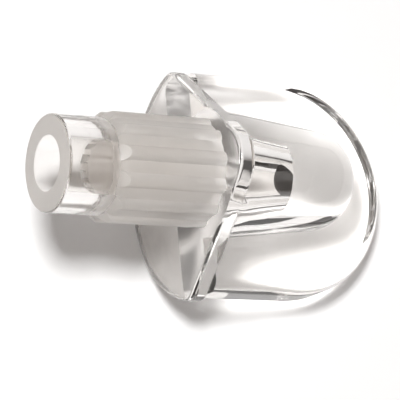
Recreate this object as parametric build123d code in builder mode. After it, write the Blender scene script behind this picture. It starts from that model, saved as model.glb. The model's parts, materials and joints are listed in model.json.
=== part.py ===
from build123d import *
from math import asin, atan2, cos, hypot, sin
import os

# A clear moulded plastic shelf support pin for a quarter-inch hole, lying as it comes to rest.
#
# A hollow pin with crush ribs goes into the hole in the cabinet side. A flange shaped like a rounded
# shield stops it there, a round-ended tongue carries the shelf, and a bullet-shaped nib in line with the
# pin stiffens the tongue. All of it is one moulding. Unheld, it lies upside down, with its shelf seat
# towards the ground, on the round edge of the flange and the round end of the tongue. It is drawn
# upright, on planes that have that lean.

# Lengths are in millimetres. X runs along the pin towards the tongue's end, from the face of the flange
# that meets the cabinet side, and heights are measured from the pin's axis. The shelf seat is on the low
# side.
PIN_LENGTH = 10.2
PIN_DIAMETER = 5.8
TIP_ROUNDING = 0.2

ROOT_DIAMETER = 6.2  # the pin between its ribs
RIB_COUNT = 12
RIB_CREST_DIAMETER = 6.7  # across the ribs
RIB_BAR_DIAMETER = 1.0  # each rib is a round bar, mostly sunk in the pin
LEAD_IN = 3.2  # smooth tip that finds the hole before the ribs bite
RIB_RAMP = 0.6

BORE_DIAMETER = 3.3
CORE_END_DIAMETER = 2.2  # beyond the flange's face the core tapers to this
CORE_END = 5.2

FLANGE_THICKNESS = 1.1
DISC_RADIUS = 7.4
DISC_DROP = 1.0  # how far the disc's centre lies below the pin
RIDGE_HEIGHT = 5.9  # where the two flats that narrow the disc would meet above the pin
RIDGE_ANGLE = 83.0
RIDGE_ROUNDING = 2.2
SHOULDER_ROUNDING = 1.2
RIM_ROUNDING = 0.25

TONGUE_REACH = 13.9
TONGUE_WIDTH = 13.8
TONGUE_THICKNESS = 2.8
TONGUE_ROUNDING = 0.8
SEAT_DROP = 3.75  # from the pin's axis to the seat that the shelf lies on

NIB_ROOT_RADIUS = 4.0
NIB_NOSE_RADIUS = 3.15
NIB_TAPER_END = 7.6
NIB_REACH = 10.3

# The ground touches the rounded rim of the flange and the rounded end of the tongue. Both roundings are
# circles seen from the side, so the lean is that of the line between their centres, less a turn for their
# unequal radii.
run = (TONGUE_REACH - TONGUE_ROUNDING) - (FLANGE_THICKNESS - RIM_ROUNDING)
rise = (DISC_DROP + DISC_RADIUS - RIM_ROUNDING) - (SEAT_DROP - TONGUE_ROUNDING)
lean = atan2(rise, run) - asin((TONGUE_ROUNDING - RIM_ROUNDING) / hypot(run, rise))
leaning = Plane(origin=(0, 0, 0), x_dir=(cos(lean), 0, -sin(lean)), z_dir=(sin(lean), 0, cos(lean)))
lengthwise = Plane(leaning.location * Plane.XZ.location)
pin_axis = Axis(leaning.origin, leaning.x_dir)
upwards = Axis(leaning.origin, leaning.z_dir)


def across(distance):
    """The plane square to the pin at a distance along it, with its x across the tongue and its y upwards."""
    return Plane(leaning.location * Plane.YZ.offset(distance).location)


# Crush ribs: round bars, cut back to a cone that rises by a short ramp behind the smooth tip. The cone
# goes on rising as far again, which keeps it clear of the ribs' crests once the ramp is past.
ribs_start = LEAD_IN - PIN_LENGTH
cone_rise = RIB_CREST_DIAMETER - PIN_DIAMETER
with BuildPart() as ribs:
    with BuildSketch(lengthwise):
        with BuildLine():
            Polyline(
                (ribs_start, 0),
                (ribs_start, PIN_DIAMETER / 2),
                (ribs_start + 2 * RIB_RAMP, PIN_DIAMETER / 2 + cone_rise),
                (FLANGE_THICKNESS / 2, PIN_DIAMETER / 2 + cone_rise),
                (FLANGE_THICKNESS / 2, 0),
                close=True,
            )
        make_face()
    revolve(axis=pin_axis)
    with BuildSketch(across(-PIN_LENGTH)):
        with PolarLocations((RIB_CREST_DIAMETER - RIB_BAR_DIAMETER) / 2, RIB_COUNT):
            Circle(RIB_BAR_DIAMETER / 2)
    extrude(amount=PIN_LENGTH + FLANGE_THICKNESS, mode=Mode.INTERSECT)

# Pin: a smooth tip that widens over the same ramp to the root, which runs halfway into the flange's
# thickness.
with BuildPart() as pin:
    with BuildSketch(lengthwise):
        with BuildLine():
            Polyline(
                (-PIN_LENGTH, 0),
                (-PIN_LENGTH, PIN_DIAMETER / 2),
                (ribs_start, PIN_DIAMETER / 2),
                (ribs_start + RIB_RAMP, ROOT_DIAMETER / 2),
                (FLANGE_THICKNESS / 2, ROOT_DIAMETER / 2),
                (FLANGE_THICKNESS / 2, 0),
                close=True,
            )
        make_face()
    revolve(axis=pin_axis)
    fillet(edges().group_by(pin_axis)[0], TIP_ROUNDING)
    add(ribs.part)

# Flange: a disc whose sides are carried straight up, until two flats narrow it to a rounded ridge over
# the pin. The flats are cut by a triangle whose base is twice as wide as the disc, so that its lower
# corners are out of the way.
with BuildPart() as flange:
    with BuildSketch(across(0)):
        with Locations((0, -DISC_DROP)):
            Circle(DISC_RADIUS)
            Rectangle(2 * DISC_RADIUS, DISC_DROP + RIDGE_HEIGHT, align=(Align.CENTER, Align.MIN))
        with Locations((0, RIDGE_HEIGHT)):
            Triangle(
                a=4 * DISC_RADIUS,
                B=90 - RIDGE_ANGLE / 2,
                C=90 - RIDGE_ANGLE / 2,
                align=(Align.CENTER, Align.MAX),
                mode=Mode.INTERSECT,
            )
        shoulders = vertices().sort_by(Axis.X)
        fillet([shoulders[0], shoulders[-1]], SHOULDER_ROUNDING)
        fillet(vertices().sort_by(Axis.Y)[-1], RIDGE_ROUNDING)
    extrude(amount=FLANGE_THICKNESS)
    rims = edges().group_by(pin_axis)
    fillet(rims[0] + rims[-1], RIM_ROUNDING)

# Tongue: a plate with a full round end, whose underside as it lies is the shelf seat.
half_width = TONGUE_WIDTH / 2
with BuildPart() as tongue:
    with BuildSketch(leaning.offset(-SEAT_DROP)):
        with BuildLine():
            side = Line((FLANGE_THICKNESS, -half_width), (TONGUE_REACH - half_width, -half_width))
            round_end = TangentArc(side @ 1, (TONGUE_REACH - half_width, half_width), tangent=side % 1)
            other_side = Line(round_end @ 1, (FLANGE_THICKNESS, half_width))
            Line(other_side @ 1, side @ 0)
        make_face()
    extrude(amount=TONGUE_THICKNESS)
    faces_by_height = faces().sort_by(upwards)
    outline = faces_by_height[0].edges() + faces_by_height[-1].edges()
    fillet(outline.sort_by(pin_axis)[2:], TONGUE_ROUNDING)

# Nib: a tapering round bar with a bullet's nose, cut off halfway down the tongue's thickness so that the
# seat stays flat under its thick root.
with BuildPart() as nib:
    with BuildSketch(lengthwise):
        with BuildLine():
            taper = Polyline((0, 0), (0, NIB_ROOT_RADIUS), (NIB_TAPER_END, NIB_NOSE_RADIUS))
            nose = Spline(taper @ 1, (NIB_REACH, 0), tangents=(taper % 1, (0, -1)))
            Line(nose @ 1, (0, 0))
        make_face()
    revolve(axis=pin_axis)
    split(bisect_by=leaning.offset(TONGUE_THICKNESS / 2 - SEAT_DROP), keep=Keep.TOP)

# The whole moulding, cored from the pin's open end so that its walls stay even.
with BuildPart() as shelf_support:
    add(flange.part)
    add(pin.part)
    add(tongue.part)
    add(nib.part)
    with BuildSketch(lengthwise):
        with BuildLine():
            Polyline(
                (-PIN_LENGTH, 0),
                (-PIN_LENGTH, BORE_DIAMETER / 2),
                (0, BORE_DIAMETER / 2),
                (CORE_END, CORE_END_DIAMETER / 2),
                (CORE_END, 0),
                close=True,
            )
        make_face()
    revolve(axis=pin_axis, mode=Mode.SUBTRACT)

shelf_support.part.label = "shelf_support"

os.makedirs("parts", exist_ok=True)
export_step(shelf_support.part, "parts/shelf_support.step")
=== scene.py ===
import json
import logging
import math
from dataclasses import dataclass, field
from enum import Enum

import bmesh
import bpy
from mathutils import Euler, Matrix, Vector


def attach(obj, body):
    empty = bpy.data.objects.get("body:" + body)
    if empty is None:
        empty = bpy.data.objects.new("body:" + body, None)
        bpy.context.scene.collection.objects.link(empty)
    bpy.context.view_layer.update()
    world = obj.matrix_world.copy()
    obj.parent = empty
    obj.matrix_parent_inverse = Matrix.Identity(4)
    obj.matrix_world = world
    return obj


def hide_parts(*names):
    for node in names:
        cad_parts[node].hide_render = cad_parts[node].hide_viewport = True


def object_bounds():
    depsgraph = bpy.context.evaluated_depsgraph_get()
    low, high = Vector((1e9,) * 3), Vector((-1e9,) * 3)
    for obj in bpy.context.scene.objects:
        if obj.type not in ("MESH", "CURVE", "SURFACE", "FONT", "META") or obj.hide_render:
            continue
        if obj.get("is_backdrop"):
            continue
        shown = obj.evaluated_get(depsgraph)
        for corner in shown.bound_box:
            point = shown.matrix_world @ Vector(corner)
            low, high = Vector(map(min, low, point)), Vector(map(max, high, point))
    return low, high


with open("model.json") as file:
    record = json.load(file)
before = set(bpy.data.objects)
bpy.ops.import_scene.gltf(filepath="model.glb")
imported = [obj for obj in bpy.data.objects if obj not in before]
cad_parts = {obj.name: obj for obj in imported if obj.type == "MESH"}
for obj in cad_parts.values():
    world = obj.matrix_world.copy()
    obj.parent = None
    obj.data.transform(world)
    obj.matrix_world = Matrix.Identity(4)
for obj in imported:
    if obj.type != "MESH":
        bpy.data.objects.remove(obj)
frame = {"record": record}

LOG = logging.getLogger("shelf_support")
MILLIMETRE = 0.001
WARM_WHITE = (1.0, 0.92, 0.88, 1.0)
PLAIN_WHITE = (1.0, 1.0, 1.0, 1.0)


class Operation(Enum):
    """The sums that a Math node is asked for."""

    ADD = "ADD"
    SUBTRACT = "SUBTRACT"
    MULTIPLY = "MULTIPLY"
    LESSER = "MINIMUM"
    GREATER = "MAXIMUM"


class Ray(Enum):
    """What the Light Path node can tell about the ray that reaches a surface."""

    FROM_EYE = "Is Camera Ray"
    TO_LAMP = "Is Shadow Ray"
    MIRRORED = "Is Glossy Ray"
    BENT = "Is Transmission Ray"
    TURNS = "Ray Depth"


class Wire:
    """A socket's value in a node tree, which can be reckoned with like a number."""

    def __init__(self, graph: "Graph", socket: bpy.types.NodeSocket) -> None:
        """Keeps the value's socket.

        Args:
            graph: the node tree that the socket belongs to.
            socket: the output that carries the value.
        """
        self.graph = graph
        self.socket = socket

    def _sum(self, operation: Operation, first: "Wire | float", second: "Wire | float") -> "Wire":
        """Adds one Math node.

        Args:
            operation: the sum to do.
            first: the upper value.
            second: the lower value.

        Returns:
            The node's result.
        """
        return self.graph.node("ShaderNodeMath", {"operation": operation.value}, {0: first, 1: second})

    def __add__(self, other: "Wire | float") -> "Wire":
        """Self plus other."""
        return self._sum(Operation.ADD, self, other)

    __radd__ = __add__

    def __sub__(self, other: "Wire | float") -> "Wire":
        """Self minus other."""
        return self._sum(Operation.SUBTRACT, self, other)

    def __rsub__(self, other: "Wire | float") -> "Wire":
        """Other minus self."""
        return self._sum(Operation.SUBTRACT, other, self)

    def __mul__(self, other: "Wire | float") -> "Wire":
        """Self times other."""
        return self._sum(Operation.MULTIPLY, self, other)

    __rmul__ = __mul__

    def lesser(self, other: "Wire | float") -> "Wire":
        """The smaller of the two."""
        return self._sum(Operation.LESSER, self, other)

    def greater(self, other: "Wire | float") -> "Wire":
        """The larger of the two."""
        return self._sum(Operation.GREATER, self, other)


class Graph:
    """The node tree of a material or of the world."""

    def __init__(self, owner: bpy.types.Material | bpy.types.World) -> None:
        """Switches the owner's nodes on and clears them.

        Args:
            owner: the material or world that the nodes belong to.
        """
        owner.use_nodes = True
        self.tree = owner.node_tree
        self.tree.nodes.clear()

    def _place(self, kind: str, settings: dict, inputs: dict) -> bpy.types.Node:
        """Adds a node and fills it in.

        Args:
            kind: the node's type name.
            settings: attributes, which are set first.
            inputs: values or wires, by the socket's name or number.

        Returns:
            The node.
        """
        made = self.tree.nodes.new(kind)
        for name, value in settings.items():
            setattr(made, name, value)
        for name, value in inputs.items():
            if isinstance(value, Wire):
                self.tree.links.new(value.socket, made.inputs[name])
            else:
                made.inputs[name].default_value = value
        return made

    def node(
        self, kind: str, settings: dict | None = None, inputs: dict | None = None, output: int | str = 0
    ) -> Wire:
        """Adds a node and picks one of its outputs.

        Args:
            kind: the node's type name.
            settings: attributes, which are set first.
            inputs: values or wires, by the socket's name or number.
            output: the name or number of the output that is wanted.

        Returns:
            The chosen output.
        """
        return Wire(self, self._place(kind, settings or {}, inputs or {}).outputs[output])

    def end(self, kind: str, surface: Wire) -> None:
        """Adds the output node.

        Args:
            kind: the output node's type name.
            surface: the shader that it shows.
        """
        self._place(kind, {}, {"Surface": surface})

    def ray(self, question: Ray) -> Wire:
        """The Light Path node's answer to one question."""
        return self.node("ShaderNodeLightPath", output=question.value)

    def through_plastic(self) -> Wire:
        """1 for a ray that was mirrored or bent by the plastic on its way here, and 0 for the rest."""
        return self.ray(Ray.MIRRORED).greater(self.ray(Ray.BENT))

    def step(self, value: Wire, start: float, width: float) -> Wire:
        """Rises smoothly from 0 to 1.

        Args:
            value: what is measured.
            start: where the rise begins.
            width: how much further on it is complete.

        Returns:
            The eased share.
        """
        return self.node(
            "ShaderNodeMapRange",
            {"interpolation_type": "SMOOTHSTEP"},
            {"Value": value, "From Min": start, "From Max": start + width, "To Min": 0.0, "To Max": 1.0},
        )

    def blend(self, share: Wire, first: tuple, second: tuple) -> Wire:
        """Mixes two colours.

        Args:
            share: how much of the second colour there is.
            first: the colour at 0.
            second: the colour at 1.

        Returns:
            The mixed colour.
        """
        first_socket, second_socket, colour_output = 6, 7, 2
        inputs = {"Factor": share, first_socket: first, second_socket: second}
        return self.node("ShaderNodeMix", {"data_type": "RGBA"}, inputs, output=colour_output)

    def mix(self, share: Wire, first: Wire, second: Wire) -> Wire:
        """Mixes two shaders.

        Args:
            share: how much of the second shader there is.
            first: the shader at 0.
            second: the shader at 1.

        Returns:
            The mixed shader.
        """
        return self.node("ShaderNodeMixShader", inputs={0: share, 1: first, 2: second})


@dataclass(frozen=True)
class PartAxes:
    """The moulding's own directions, as the construction model states them."""

    along: Vector
    upward: Vector

    @classmethod
    def from_frame(cls) -> "PartAxes":
        """Reads the pin's line from its bore, which opens at the far end, and the way up from the seat."""
        facing = {mount["name"]: -Vector(mount["axis"]).normalized() for mount in frame["record"]["mounts"]}
        return cls(facing["core_bore"], facing["shelf_seat"])

    @staticmethod
    def place(graph: Graph, direction: Vector) -> Wire:
        """How far the shaded point lies from the origin in a direction.

        Args:
            graph: the material's nodes.
            direction: the direction to measure in.

        Returns:
            The distance, negative on the pin's side of the flange or below the pin.
        """
        here = graph.node("ShaderNodeTexCoord", output="Object")
        dot = {"operation": "DOT_PRODUCT"}
        return graph.node("ShaderNodeVectorMath", dot, {0: here, 1: direction}, output="Value")


@dataclass(frozen=True)
class Zones:
    """Where on the moulding a point lies. Each is a share from 0 to 1."""

    ribs: Wire
    end: Wire
    pin: Wire
    nib: Wire


@dataclass(frozen=True)
class Mould:
    """Where the zones of the moulding begin and end, measured along the pin or upwards from it."""

    rib_ramp_start: float = -7.4 * MILLIMETRE
    rib_ramp: float = 0.8 * MILLIMETRE
    ribs_end: float = -0.1 * MILLIMETRE
    cut_end: float = -10.17 * MILLIMETRE
    cut_end_fade: float = 0.04 * MILLIMETRE
    flange_end: float = 1.1 * MILLIMETRE
    tongue_top: float = -0.93 * MILLIMETRE
    fade: float = 0.2 * MILLIMETRE

    def zones(self, graph: Graph, axes: PartAxes) -> Zones:
        """Works out the zones at the shaded point.

        Args:
            graph: the material's nodes.
            axes: the directions that the zones are measured along.

        Returns:
            The share of each zone.
        """
        along = axes.place(graph, axes.along)
        height = axes.place(graph, axes.upward)
        rising = graph.step(along, self.rib_ramp_start, self.rib_ramp)
        before_flange = 1 - graph.step(along, self.ribs_end, self.fade)
        past_flange = graph.step(along, self.flange_end, self.fade)
        above_tongue = graph.step(height, self.tongue_top, self.fade)
        end = 1 - graph.step(along, self.cut_end, self.cut_end_fade)
        return Zones(ribs=rising * before_flange, end=end, pin=before_flange, nib=past_flange * above_tongue)


@dataclass(frozen=True)
class ClearPlastic:
    """Clear polycarbonate as it leaves the mould: glossy, but hazy on the ribs and on the cut end."""

    mould: Mould = field(default_factory=Mould)
    bend: float = 1.56
    clear: tuple = (0.98, 0.965, 0.95, 1.0)
    hazy: tuple = (0.90, 0.87, 0.84, 1.0)
    polish: float = 0.015
    rib_roughness: float = 0.42
    end_roughness: float = 0.5
    frost: tuple = (0.88, 0.84, 0.80, 1.0)
    frost_roughness: float = 0.6
    rib_frost: float = 0.35
    end_frost: float = 0.4
    mottle_scale: float = 900.0
    mottle_depth: float = 0.8
    flow_height: float = 0.004 * MILLIMETRE
    flow_length: float = 2.5 * MILLIMETRE
    light_through: tuple = (1.0, 0.995, 0.99, 1.0)
    steep_from: float = 0.2
    steep_width: float = 0.18
    pin_shade: float = 0.85
    nib_shade: float = 0.75
    trapped_after: float = 4.0
    pin_turns: float = 3.0

    def _skin(self, graph: Graph, zones: Zones) -> Wire:
        """The plastic that the eye sees.

        Args:
            graph: the material's nodes.
            zones: where the point lies.

        Returns:
            Clear plastic, with a share of frost on the ribs and on the cut end.
        """
        here = graph.node("ShaderNodeTexCoord", output="Object")
        grain = {"Vector": here, "Scale": self.mottle_scale, "Detail": 3.0}
        mottle = graph.node("ShaderNodeTexNoise", inputs=grain)
        ripple = {"Vector": here, "Scale": 1 / self.flow_length, "Detail": 1.0}
        flow = graph.node("ShaderNodeTexNoise", inputs=ripple)
        haze = zones.ribs * (1 - self.mottle_depth / 2 + self.mottle_depth * mottle)
        clear = {
            "Base Color": graph.blend(haze.greater(zones.end).lesser(1.0), self.clear, self.hazy),
            "Roughness": self.polish + self.rib_roughness * haze + self.end_roughness * zones.end,
            "Normal": graph.node("ShaderNodeBump", inputs={"Distance": self.flow_height, "Height": flow}),
            "IOR": self.bend,
            "Transmission Weight": 1.0,
        }
        frost = {"Base Color": self.frost, "Roughness": self.frost_roughness, "IOR": self.bend}
        return graph.mix(
            (self.rib_frost * haze + self.end_frost * zones.end).lesser(1.0),
            graph.node("ShaderNodeBsdfPrincipled", inputs=clear),
            graph.node("ShaderNodeBsdfPrincipled", inputs=frost),
        )

    def _let_through(self, graph: Graph, zones: Zones) -> Wire:
        """The share of rays that pass straight on.

        Lamp light passes where it meets the plastic squarely, and is held back where the surface is steep,
        on the pin and on the nib, so that the shadow has the dark edges of a real one. A ray that has been
        turned back inside the plastic too often passes as well, because it would otherwise end as black.

        Args:
            graph: the material's nodes.
            zones: where the point lies.

        Returns:
            The share, from 0 to 1.
        """
        facing = graph.node("ShaderNodeLayerWeight", inputs={"Blend": 0.5}, output="Facing")
        square = 1 - graph.step(facing, self.steep_from, self.steep_width)
        lit = graph.ray(Ray.TO_LAMP) * square
        lit = lit * (1 - self.pin_shade * zones.pin) * (1 - self.nib_shade * zones.nib)
        turns = graph.ray(Ray.TURNS) - self.pin_turns * zones.pin
        return lit.greater(graph.step(turns, self.trapped_after, 1.0))

    def make(self, axes: PartAxes) -> bpy.types.Material:
        """Builds the material.

        Args:
            axes: the directions that the zones are measured along.

        Returns:
            The finished material.
        """
        material = bpy.data.materials.new("clear_polycarbonate")
        graph = Graph(material)
        zones = self.mould.zones(graph, axes)
        straight_on = graph.node("ShaderNodeBsdfTransparent", inputs={"Color": self.light_through})
        surface = graph.mix(self._let_through(graph, zones), self._skin(graph, zones), straight_on)
        graph.end("ShaderNodeOutputMaterial", surface)
        return material


@dataclass(frozen=True)
class TableWhite:
    """Matt white paint. It glows a little for the eye and for what the plastic shows, but lights nothing."""

    tone: tuple = (0.9, 0.9, 0.9, 1.0)
    glow: float = 0.10

    def make(self) -> bpy.types.Material:
        """Builds the material."""
        material = bpy.data.materials.new("table_white")
        graph = Graph(material)
        shown = graph.ray(Ray.FROM_EYE).greater(graph.through_plastic())
        paint = graph.node("ShaderNodeBsdfDiffuse", inputs={"Color": self.tone})
        glow = graph.node("ShaderNodeEmission", inputs={"Color": WARM_WHITE, "Strength": shown * self.glow})
        both = graph.node("ShaderNodeAddShader", inputs={0: paint, 1: glow})
        graph.end("ShaderNodeOutputMaterial", both)
        return material


def link(name: str, data: bpy.types.ID) -> bpy.types.Object:
    """Makes an object and puts it in the scene.

    Args:
        name: the object's name.
        data: its mesh, lamp or camera.

    Returns:
        The object, at the origin and unturned.
    """
    made = bpy.data.objects.new(name, data)
    bpy.context.scene.collection.objects.link(made)
    return made


@dataclass
class ShelfSupport:
    """The one moulding: hollow ribbed pin, flange, tongue and nib."""

    node: str = "shelf_support"
    name: str = "clear_support"
    crease: float = 32.0
    weld: float = 0.0002 * MILLIMETRE
    sliver: float = 0.003 * MILLIMETRE
    plastic: ClearPlastic = field(default_factory=ClearPlastic)

    def _smooth(self, mesh: bpy.types.Mesh) -> None:
        """Welds the mesh, clears its slivers, and shades it smoothly between its creases."""
        shape = bmesh.new()
        shape.from_mesh(mesh)
        bmesh.ops.remove_doubles(shape, verts=shape.verts, dist=self.weld)
        bmesh.ops.dissolve_degenerate(shape, edges=shape.edges, dist=self.sliver)
        bmesh.ops.recalc_face_normals(shape, faces=shape.faces)
        for face in shape.faces:
            face.smooth = True
        for edge in shape.edges:
            edge.smooth = len(edge.link_faces) == 2 and edge.calc_face_angle() < math.radians(self.crease)
        shape.to_mesh(mesh)
        shape.free()

    def build(self) -> bpy.types.Object:
        """Makes the piece that is shown in the construction model's place.

        Returns:
            The piece, which rides on the root.
        """
        mesh = bpy.data.objects[self.node].data.copy()
        mesh.name = self.name
        self._smooth(mesh)
        piece = link(self.name, mesh)
        weighted = piece.modifiers.new("even_normals", "WEIGHTED_NORMAL")
        weighted.keep_sharp = True
        weighted.weight = 100
        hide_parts(self.node)
        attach(piece, "root")
        return piece

    def dress(self, piece: bpy.types.Object) -> None:
        """Gives the piece its plastic."""
        piece.data.materials.clear()
        piece.data.materials.append(self.plastic.make(PartAxes.from_frame()))


@dataclass
class Table:
    """A plain white table top that keeps the support's shadow."""

    lowest: float
    gap: float = 0.01 * MILLIMETRE
    reach: float = 0.6
    white: TableWhite = field(default_factory=TableWhite)

    def build(self) -> bpy.types.Object:
        """Lays the table just under the support.

        Returns:
            The table top, marked as part of the stage.
        """
        mesh = bpy.data.meshes.new("table_top")
        shape = bmesh.new()
        bmesh.ops.create_grid(shape, x_segments=1, y_segments=1, size=self.reach)
        bmesh.ops.translate(shape, verts=shape.verts, vec=(0, 0, self.lowest - self.gap))
        shape.to_mesh(mesh)
        shape.free()
        top = link("table_top", mesh)
        top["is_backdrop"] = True
        return top

    def dress(self, top: bpy.types.Object) -> None:
        """Paints the table."""
        top.data.materials.append(self.white.make())


@dataclass
class Viewpoint:
    """The camera, looking steeply down with a roll."""

    target: Vector = field(default_factory=lambda: Vector((-0.0000856, -0.0016532, 0.0)))
    azimuth: float = -126.07
    elevation: float = 71.79
    roll: float = 32.17
    distance: float = 0.14886
    lens: float = 225.0

    def turn(self) -> Matrix:
        """The camera's rotation, with its own z towards the eye."""
        tip = math.radians(90 - self.elevation)
        spin = math.radians(90 + self.azimuth)
        return Euler((tip, 0, spin), "XYZ").to_matrix() @ Matrix.Rotation(math.radians(self.roll), 3, "Z")

    def direction(self, right: float, up: float, back: float) -> Vector:
        """Turns a direction that the camera sees into one in the scene.

        Args:
            right: its share to the camera's right.
            up: its share up.
            back: its share towards the eye.

        Returns:
            The direction in the scene.
        """
        return self.turn() @ Vector((right, up, back))

    def build(self) -> bpy.types.Object:
        """Sets the camera up and makes it the scene's own.

        Returns:
            The camera object.
        """
        optics = bpy.data.cameras.new("camera")
        optics.sensor_width = 36.0
        optics.lens = self.lens
        optics.clip_start = MILLIMETRE
        camera = link("camera", optics)
        camera.location = self.target + self.direction(0, 0, self.distance)
        camera.rotation_euler = self.turn().to_euler()
        bpy.context.scene.camera = camera
        return camera


@dataclass
class Studio:
    """A round soft lamp over the support, in a room that looks white to the eye and dim to the plastic."""

    centre: Vector
    fill: float = 0.12
    in_plastic: float = 0.05
    key_power: float = 0.62
    key_size: float = 0.05
    key_distance: float = 0.25
    key_right: float = -0.07
    key_up: float = 0.30

    def build(self, view: Viewpoint) -> bpy.types.Object:
        """Hangs the lamp behind the camera and a little above it.

        Args:
            view: the camera, whose own directions the lamp is placed by.

        Returns:
            The lamp.
        """
        light = bpy.data.lights.new("key_softbox", "AREA")
        light.shape = "DISK"
        light.size = self.key_size
        light.energy = self.key_power
        lamp = link("key_softbox", light)
        towards = view.direction(self.key_right, self.key_up, 1.0)
        lamp.location = self.centre + towards.normalized() * self.key_distance
        lamp.rotation_euler = towards.to_track_quat("Z", "Y").to_euler()
        return lamp

    def dress(self) -> None:
        """Paints the room: a soft fill for what it lights, white for the eye, dim in the plastic."""
        room = bpy.data.worlds.new("white_room")
        bpy.context.scene.world = room
        graph = Graph(room)
        dimmed = self.fill + graph.through_plastic() * (self.in_plastic - self.fill)
        seen = graph.ray(Ray.FROM_EYE)
        tint = graph.blend(seen, WARM_WHITE, PLAIN_WHITE)
        sky = graph.node("ShaderNodeBackground", inputs={"Color": tint, "Strength": dimmed.greater(seen)})
        graph.end("ShaderNodeOutputWorld", sky)


def main() -> None:
    """Builds the support, the table, the camera and the studio, in that order."""
    logging.basicConfig(level=logging.INFO, format="%(name)s: %(message)s")
    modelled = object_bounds()
    low, high = modelled
    support = ShelfSupport()
    piece = support.build()
    support.dress(piece)
    LOG.info("%s: %d faces", piece.name, len(piece.data.polygons))
    table = Table(lowest=low.z)
    top = table.build()
    table.dress(top)
    LOG.info("%s at height %.5f", top.name, low.z)
    view = Viewpoint()
    LOG.info("%s at %.3f from the support", view.build().name, view.distance)
    studio = Studio(centre=(low + high) / 2)
    LOG.info("%s at %.3f from the support", studio.build(view).name, studio.key_distance)
    studio.dress()
    bpy.context.scene.view_settings.view_transform = "Standard"


if __name__ == "__main__":
    main()
